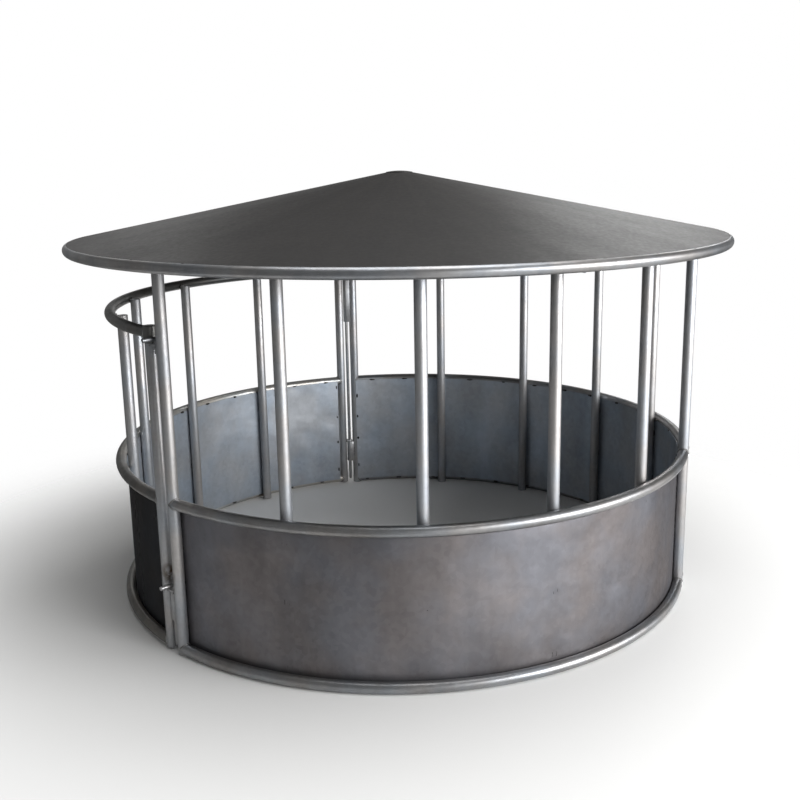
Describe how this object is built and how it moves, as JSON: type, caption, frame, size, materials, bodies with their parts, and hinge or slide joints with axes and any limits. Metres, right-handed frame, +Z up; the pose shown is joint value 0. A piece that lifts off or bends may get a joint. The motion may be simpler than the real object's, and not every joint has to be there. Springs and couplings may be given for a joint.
{
  "type": "covered hay feeder",
  "caption": "Round sheeted hay feeder with upright bars, a swing-out gate section held by drop pins, and a shallow conical roof.",
  "frame": {"origin": "centre of the ring on the ground", "axes": "+Z up, -Y towards the front section of the picture, +X to its right"},
  "size_m": [2.71, 2.71, 1.7265],
  "materials": {
    "tube": "galvanised",
    "skirt": "galvanised sheet, weathered",
    "roof": "dark, satin",
    "frame": "galvanised, dull",
    "hardware": "galvanised"
  },
  "bodies": {
    "ring": {"front_bottom_rail": "tube", "front_mid_rail": "tube", "front_top_rail": "tube", "front_skirt": "skirt", "front_latch_post": "tube", "front_side_post": "tube", "front_upright_1": "tube", "front_upright_2": "tube", "front_upright_3": "tube", "front_upright_4": "tube", "back_bottom_rail": "tube", "back_mid_rail": "tube", "back_top_rail": "tube", "back_skirt": "skirt", "back_side_post": "tube", "back_hinge_post": "tube", "back_upright_1": "tube", "back_upright_2": "tube", "back_upright_3": "tube", "back_upright_4": "tube", "roof_sheet": "roof", "roof_rim": "tube", "roof_cap": "roof", "roof_rafter_1": "frame", "roof_rafter_2": "frame", "roof_rafter_3": "frame", "roof_rafter_4": "frame", "roof_rafter_5": "frame", "roof_rafter_6": "frame", "roof_hanger_1": "hardware", "roof_hanger_2": "hardware", "roof_hanger_3": "hardware", "roof_hanger_4": "hardware", "back_side_lug_lower": "hardware", "front_side_lug_lower": "hardware", "back_side_lug_upper": "hardware", "front_side_lug_upper": "hardware", "back_hinge_lug_lower": "hardware", "back_hinge_lug_upper": "hardware", "front_latch_lug_lower": "hardware", "front_latch_lug_upper": "hardware", "side_rod": "hardware", "hinge_rod": "hardware"},
    "gate": {"gate_bottom_rail": "tube", "gate_mid_rail": "tube", "gate_top_rail": "tube", "gate_skirt": "skirt", "gate_hinge_post": "tube", "gate_latch_post": "tube", "gate_upright_1": "tube", "gate_upright_2": "tube", "gate_upright_3": "tube", "gate_upright_4": "tube", "gate_hinge_lug_lower": "hardware", "gate_hinge_lug_upper": "hardware", "gate_latch_lug_lower": "hardware", "gate_latch_lug_upper": "hardware"},
    "lower_pin": {"latch_pin_lower": "hardware"},
    "upper_pin": {"latch_pin_upper": "hardware"}
  },
  "joints": [
    {"name": "gate_swing", "type": "hinge", "parent": "ring", "child": "gate", "pos_m": [-0.31058, 1.15911, 0.6], "axis": [0, 0, -1], "range_deg": [0, 95]},
    {"name": "lower_pin_lift", "type": "slide", "parent": "gate", "child": "lower_pin", "axis": [0, 0, 1], "range_m": [0, 0.228]},
    {"name": "upper_pin_lift", "type": "slide", "parent": "gate", "child": "upper_pin", "axis": [0, 0, 1], "range_m": [0, 0.03]}
  ]
}
